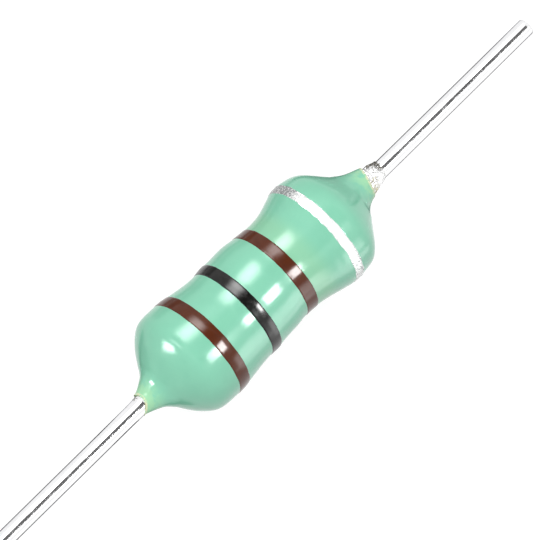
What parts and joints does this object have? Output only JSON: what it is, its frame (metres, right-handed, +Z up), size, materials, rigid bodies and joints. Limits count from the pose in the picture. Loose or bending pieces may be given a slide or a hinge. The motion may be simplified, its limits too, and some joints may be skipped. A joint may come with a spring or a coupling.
{
  "type": "axial inductor",
  "caption": "Axial wound inductor with a dipped green epoxy body, painted colour-code bands and two straight tinned copper leads.",
  "frame": {"origin": "centre of the body, on the axis of the leads, midway between their cut ends", "axes": "+X along the leads towards the fourth (silver) band, +Z up, with the part lying level on its side; it is round about X"},
  "size_m": [0.026, 0.004, 0.004],
  "materials": {
    "green_epoxy": "glossy dipped epoxy, pale mint green",
    "ferrite": "matt sintered ferrite, dark grey",
    "enamelled_copper": "copper wire under clear enamel",
    "tinned_copper": "bright tinned copper wire",
    "solder": "dull, slightly rough solder",
    "adhesive": "cured amber epoxy",
    "brown_paint": "glossy brown marking paint",
    "black_paint": "glossy black marking paint",
    "silver_paint": "aluminium-flake marking paint"
  },
  "bodies": {
    "root": {"epoxy_coating": "green_epoxy", "ferrite_core": "ferrite", "winding": "enamelled_copper", "lead_left": "tinned_copper", "lead_right": "tinned_copper", "solder_left": "solder", "solder_right": "solder", "adhesive_left": "adhesive", "adhesive_right": "adhesive", "band_1_brown": "brown_paint", "band_2_black": "black_paint", "band_3_brown": "brown_paint", "band_4_silver": "silver_paint"}
  },
  "joints": []
}
